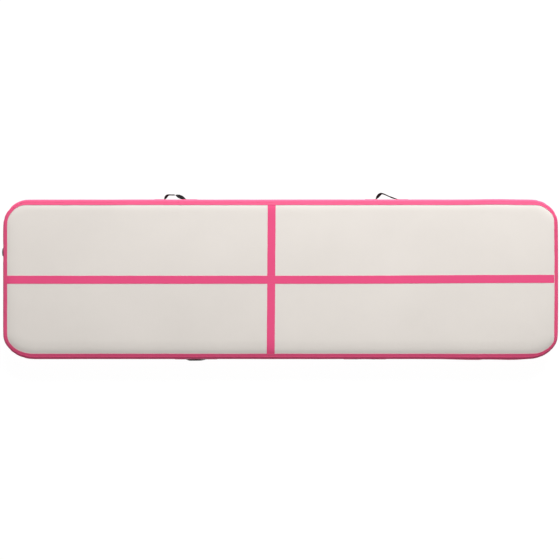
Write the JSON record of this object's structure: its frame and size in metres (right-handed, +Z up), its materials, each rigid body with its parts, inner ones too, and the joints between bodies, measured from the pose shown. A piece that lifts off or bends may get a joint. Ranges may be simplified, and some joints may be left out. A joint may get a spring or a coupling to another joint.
{
  "type": "inflatable tumbling mat",
  "caption": "Long flat inflatable tumbling mat with rounded corners, banded sides, line tapes, webbing hand straps and an end air valve.",
  "frame": {"origin": "centre of the air chamber's flat bottom face, on the floor", "axes": "+X along the mat away from the valve end, +Y across it towards the two standing hand straps, +Z up"},
  "size_m": [3.5165, 1.0649, 0.1009],
  "materials": {
    "top_pvc": "satin",
    "base_pvc": "matte",
    "side_pvc": "satin",
    "line_pvc": "satin",
    "yarn": "matte",
    "webbing": "matte",
    "valve_plastic": "satin",
    "seal": "matte",
    "spring_steel": "satin"
  },
  "bodies": {
    "mat": {"top_sheet": "top_pvc", "bottom_sheet": "base_pvc", "drop_stitch_threads": "yarn", "inner_side_wall": "side_pvc", "side_wall": "side_pvc", "edge_band": "side_pvc", "side_cover_strip": "side_pvc", "wall_joint_cover": "side_pvc", "centre_stripe": "line_pvc", "cross_stripe": "line_pvc", "valve_patch": "side_pvc", "valve_gasket": "seal", "valve_body": "valve_plastic", "valve_nut": "valve_plastic", "valve_spring": "spring_steel", "rear_left_tails": "webbing", "rear_left_patch_a": "side_pvc", "rear_left_patch_b": "side_pvc", "rear_right_tails": "webbing", "rear_right_patch_a": "side_pvc", "rear_right_patch_b": "side_pvc", "front_left_tails": "webbing", "front_left_patch_a": "side_pvc", "front_left_patch_b": "side_pvc", "front_right_tails": "webbing", "front_right_patch_a": "side_pvc", "front_right_patch_b": "side_pvc"},
    "rear_left_loop": {"rear_left_strap": "webbing"},
    "rear_right_loop": {"rear_right_strap": "webbing"},
    "front_left_loop": {"front_left_strap": "webbing"},
    "front_right_loop": {"front_right_strap": "webbing"},
    "plunger": {"valve_diaphragm": "seal"},
    "button": {"valve_stem": "valve_plastic", "stem_retainer": "valve_plastic"},
    "leash": {"cap_leash": "valve_plastic"},
    "cap": {"valve_cap": "valve_plastic", "cap_seal": "seal"}
  },
  "joints": [
    {"name": "rear_left_swing", "type": "hinge", "parent": "mat", "child": "rear_left_loop", "pos_m": [-0.663, 0.5158, 0.05], "axis": [1, 0, 0], "range_deg": [-75, 75]},
    {"name": "rear_right_swing", "type": "hinge", "parent": "mat", "child": "rear_right_loop", "pos_m": [0.673, 0.5158, 0.05], "axis": [1, 0, 0], "range_deg": [-75, 75]},
    {"name": "front_left_lift", "type": "hinge", "parent": "mat", "child": "front_left_loop", "pos_m": [-0.535, -0.5024, 0.0625], "axis": [-1, 0, 0], "range_deg": [0, 90]},
    {"name": "front_right_lift", "type": "hinge", "parent": "mat", "child": "front_right_loop", "pos_m": [0.535, -0.5024, 0.0625], "axis": [-1, 0, 0], "range_deg": [0, 90]},
    {"name": "cap_flip", "type": "hinge", "parent": "mat", "child": "leash", "pos_m": [-1.75785, 0.172, 0.0804], "axis": [0, 1, 0], "range_deg": [0, 140]},
    {"name": "cap_turn", "type": "hinge", "parent": "leash", "child": "cap", "pos_m": [-1.7585, 0.172, 0.05], "axis": [-1, 0, 0], "range_deg": [0, 90]},
    {"name": "plunger_push", "type": "slide", "parent": "mat", "child": "plunger", "axis": [1, 0, 0], "range_m": [0, 0.005], "stiffness_N_per_m": 400, "springref_m": -0.003, "deforming": ["valve_spring"]},
    {"name": "plunger_turn", "type": "hinge", "parent": "plunger", "child": "button", "pos_m": [-1.74, 0.172, 0.05], "axis": [-1, 0, 0], "range_deg": [0, 90]}
  ]
}
